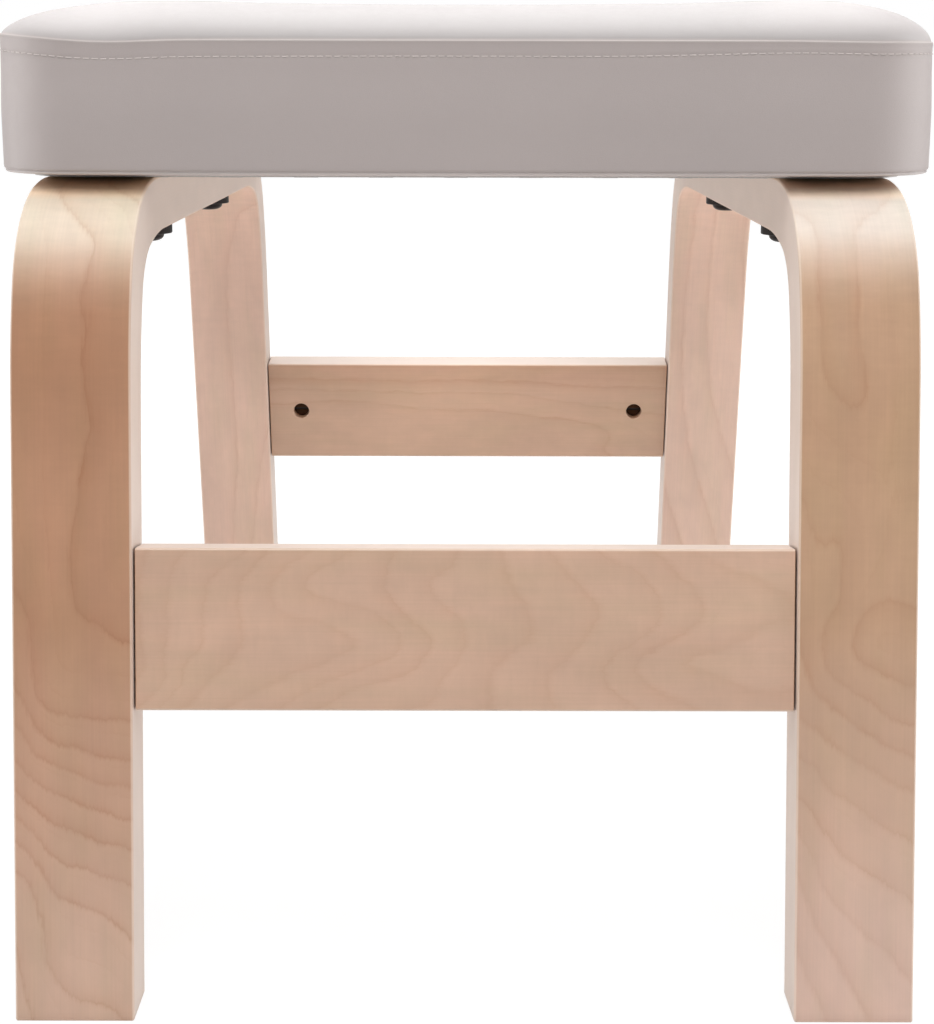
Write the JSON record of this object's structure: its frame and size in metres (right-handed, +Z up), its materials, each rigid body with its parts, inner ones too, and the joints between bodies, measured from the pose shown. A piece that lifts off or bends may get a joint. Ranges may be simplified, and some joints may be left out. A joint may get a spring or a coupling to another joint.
{
  "type": "yoga headstand stool",
  "caption": "Bent-wood inversion stool: two splayed side frames joined by rails carry a padded horseshoe seat open at the back for the head and neck.",
  "frame": {"origin": "on the floor under the middle of the stool, the bottom centre of its box", "axes": "+X to the right seen from the closed front end of the seat, +Y from there towards the open neck end, +Z up"},
  "size_m": [0.3708, 0.5186, 0.3808],
  "materials": {
    "birch": "satin",
    "dowel_wood": "matte",
    "plywood": "matte",
    "synthetic_leather": "satin",
    "foam": "matte",
    "dust_cloth": "matte",
    "black_steel": "satin",
    "zinc_steel": "satin"
  },
  "bodies": {
    "root": {"left_frame": "birch", "right_frame": "birch", "front_rail": "birch", "rear_rail": "birch", "rail_bolt_front_left": "black_steel", "barrel_nut_front_left": "black_steel", "dowel_front_left_lower": "dowel_wood", "dowel_front_left_upper": "dowel_wood", "rail_bolt_front_right": "black_steel", "barrel_nut_front_right": "black_steel", "dowel_front_right_lower": "dowel_wood", "dowel_front_right_upper": "dowel_wood", "rail_bolt_rear_left": "black_steel", "barrel_nut_rear_left": "black_steel", "dowel_rear_left_lower": "dowel_wood", "dowel_rear_left_upper": "dowel_wood", "rail_bolt_rear_right": "black_steel", "barrel_nut_rear_right": "black_steel", "dowel_rear_right_lower": "dowel_wood", "dowel_rear_right_upper": "dowel_wood", "seat_cover": "synthetic_leather", "foam_pad": "foam", "seat_board": "plywood", "dust_cover": "dust_cloth", "seat_bolt_left_front": "black_steel", "seat_washer_left_front": "black_steel", "tee_nut_left_front": "zinc_steel", "seat_bolt_left_rear": "black_steel", "seat_washer_left_rear": "black_steel", "tee_nut_left_rear": "zinc_steel", "seat_bolt_right_front": "black_steel", "seat_washer_right_front": "black_steel", "tee_nut_right_front": "zinc_steel", "seat_bolt_right_rear": "black_steel", "seat_washer_right_rear": "black_steel", "tee_nut_right_rear": "zinc_steel"}
  },
  "joints": []
}
